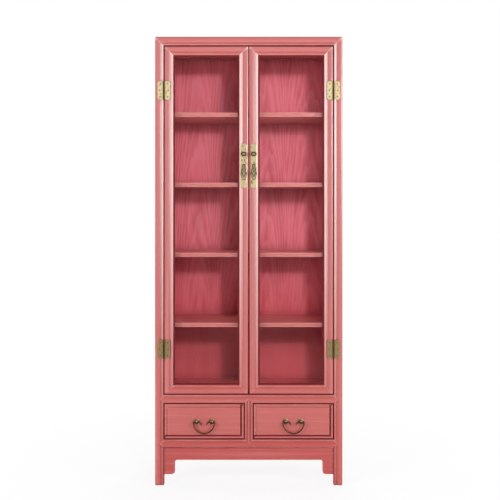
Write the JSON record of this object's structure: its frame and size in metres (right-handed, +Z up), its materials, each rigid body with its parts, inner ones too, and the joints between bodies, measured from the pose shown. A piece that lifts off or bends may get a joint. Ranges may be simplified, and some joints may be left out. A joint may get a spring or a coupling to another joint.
{
  "type": "wine cabinet",
  "caption": "Tall painted wood cabinet with glazed double doors over shelves, drawers below and short legs with a shaped apron",
  "frame": {"origin": "on the floor, in the middle of the whole object with its front hardware", "axes": "+Z up, -Y out of the front, +X to the right as seen from the front"},
  "size_m": [0.8, 0.368, 1.91],
  "materials": {
    "paint_outer": "rubbed coral pink paint, satin",
    "paint_inner": "rose paint over open grain, satin",
    "glass": "clear",
    "brass_plate": "brushed, lightly aged",
    "brass_aged": "antique, rubbed bright on the high spots"
  },
  "bodies": {
    "carcass": {"post_front_left": "paint_outer", "post_front_right": "paint_outer", "post_rear_left": "paint_outer", "post_rear_right": "paint_outer", "rail_top_front": "paint_outer", "rail_mid_front": "paint_outer", "rail_bottom_front": "paint_outer", "rails_rear": "paint_inner", "rails_left": "paint_outer", "rails_right": "paint_outer", "centre_stile": "paint_outer", "top_panel": "paint_inner", "top_battens": "paint_inner", "side_panels_left": "paint_inner", "side_panels_right": "paint_inner", "back_panels": "paint_inner", "cabinet_floor": "paint_inner", "base_board": "paint_inner", "shelf_1": "paint_outer", "shelf_2": "paint_outer", "shelf_3": "paint_outer", "shelf_4": "paint_outer", "shelf_cleats": "paint_inner", "apron_front": "paint_outer", "aprons_side": "paint_outer", "drawer_runners": "paint_inner", "hinge_leaves_posts": "brass_plate", "hinge_pins": "brass_plate"},
    "door_left": {"door_left_hinge_stile": "paint_outer", "door_left_meeting_stile": "paint_outer", "door_left_top_rail": "paint_outer", "door_left_bottom_rail": "paint_outer", "door_left_glass": "glass", "door_left_glass_beads": "paint_outer", "door_left_hinge_leaves": "brass_plate", "door_left_pull_plate": "brass_plate", "door_left_knob": "brass_aged", "door_left_pendant_bracket": "brass_aged"},
    "pendant_left": {"door_left_pendant": "brass_aged"},
    "drawer_left": {"drawer_left_front": "paint_outer", "drawer_left_box": "paint_inner", "drawer_left_bottom": "paint_inner", "drawer_left_bail_posts": "brass_aged"},
    "bail_left": {"drawer_left_bail": "brass_aged"},
    "door_right": {"door_right_hinge_stile": "paint_outer", "door_right_meeting_stile": "paint_outer", "door_right_top_rail": "paint_outer", "door_right_bottom_rail": "paint_outer", "door_right_glass": "glass", "door_right_glass_beads": "paint_outer", "door_right_hinge_leaves": "brass_plate", "door_right_pull_plate": "brass_plate", "door_right_knob": "brass_aged", "door_right_pendant_bracket": "brass_aged"},
    "pendant_right": {"door_right_pendant": "brass_aged"},
    "drawer_right": {"drawer_right_front": "paint_outer", "drawer_right_box": "paint_inner", "drawer_right_bottom": "paint_inner", "drawer_right_bail_posts": "brass_aged"},
    "bail_right": {"drawer_right_bail": "brass_aged"}
  },
  "joints": [
    {"name": "door_left_hinge", "type": "hinge", "parent": "carcass", "child": "door_left", "pos_m": [-0.36075, -0.1692, 1.13], "axis": [0, 0, -1], "range_deg": [0, 175]},
    {"name": "pendant_left_swing", "type": "hinge", "parent": "door_left", "child": "pendant_left", "pos_m": [-0.021, -0.1725, 1.36], "axis": [-1, 0, 0], "range_deg": [-3, 150]},
    {"name": "drawer_left_slide", "type": "slide", "parent": "carcass", "child": "drawer_left", "axis": [0, -1, 0], "range_m": [0, 0.25]},
    {"name": "bail_left_swing", "type": "hinge", "parent": "drawer_left", "child": "bail_left", "pos_m": [-0.19, -0.174, 0.272], "axis": [-1, 0, 0], "range_deg": [-8, 170]},
    {"name": "door_right_hinge", "type": "hinge", "parent": "carcass", "child": "door_right", "pos_m": [0.36075, -0.1692, 1.13], "axis": [0, 0, 1], "range_deg": [0, 175]},
    {"name": "pendant_right_swing", "type": "hinge", "parent": "door_right", "child": "pendant_right", "pos_m": [0.021, -0.1725, 1.36], "axis": [-1, 0, 0], "range_deg": [-3, 150]},
    {"name": "drawer_right_slide", "type": "slide", "parent": "carcass", "child": "drawer_right", "axis": [0, -1, 0], "range_m": [0, 0.25]},
    {"name": "bail_right_swing", "type": "hinge", "parent": "drawer_right", "child": "bail_right", "pos_m": [0.19, -0.174, 0.272], "axis": [-1, 0, 0], "range_deg": [-8, 170]}
  ]
}
